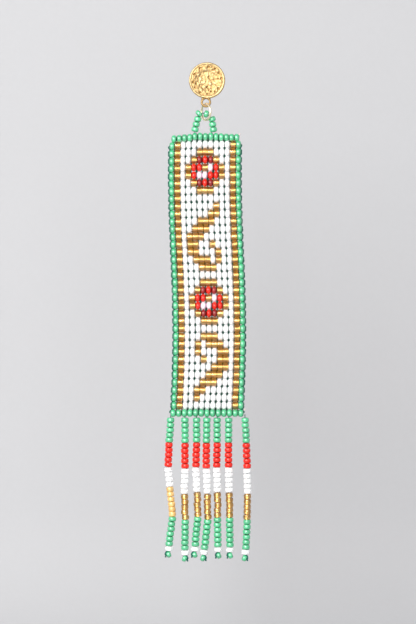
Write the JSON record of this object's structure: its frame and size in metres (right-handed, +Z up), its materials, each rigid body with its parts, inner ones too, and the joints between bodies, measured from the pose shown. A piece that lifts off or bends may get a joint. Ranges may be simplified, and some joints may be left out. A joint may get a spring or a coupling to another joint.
{
  "type": "beaded dangle earring",
  "caption": "Hanging stud earring: hammered disc stud, jump ring and bead loop carry a loom-woven bead band with a bead fringe.",
  "frame": {"origin": "where the ear post leaves the back of the disc, at the ear lobe", "axes": "+Z up along the hanging earring, +Y along the ear post to the back, +X to the right seen from the front"},
  "size_m": [0.0231, 0.0128, 0.1333],
  "materials": {
    "gold_plate": "polished gold plate, hammered",
    "pale_gold_plate": "polished pale gold plate",
    "thread": "waxed nylon beading thread, dark green",
    "green_beads": "opaque glossy green seed beads",
    "woven_beads": "opaque white, green and red seed beads and silver-lined gold ones",
    "strand_beads": "opaque green, red and white seed beads and silver-lined gold ones"
  },
  "bodies": {
    "stud": {"ear_stud": "gold_plate"},
    "ring": {"jump_ring": "pale_gold_plate"},
    "drop": {"hanger_thread": "thread", "hanger_beads": "green_beads", "bead_band": "woven_beads", "fringe_strand_1": "strand_beads", "fringe_strand_2": "strand_beads", "fringe_strand_3": "strand_beads", "fringe_strand_4": "strand_beads", "fringe_strand_5": "strand_beads", "fringe_strand_6": "strand_beads", "fringe_strand_7": "strand_beads"}
  },
  "joints": [
    {"name": "ring_swing", "type": "hinge", "parent": "stud", "child": "ring", "pos_m": [-0.0003, -0.0007, -0.00695], "axis": [1, 0, 0], "range_deg": [-30, 30]},
    {"name": "drop_swing", "type": "hinge", "parent": "ring", "child": "drop", "pos_m": [-0.0003, -0.0007, -0.0106], "axis": [0.5446, -0.8387, 0], "range_deg": [-25, 25]}
  ]
}
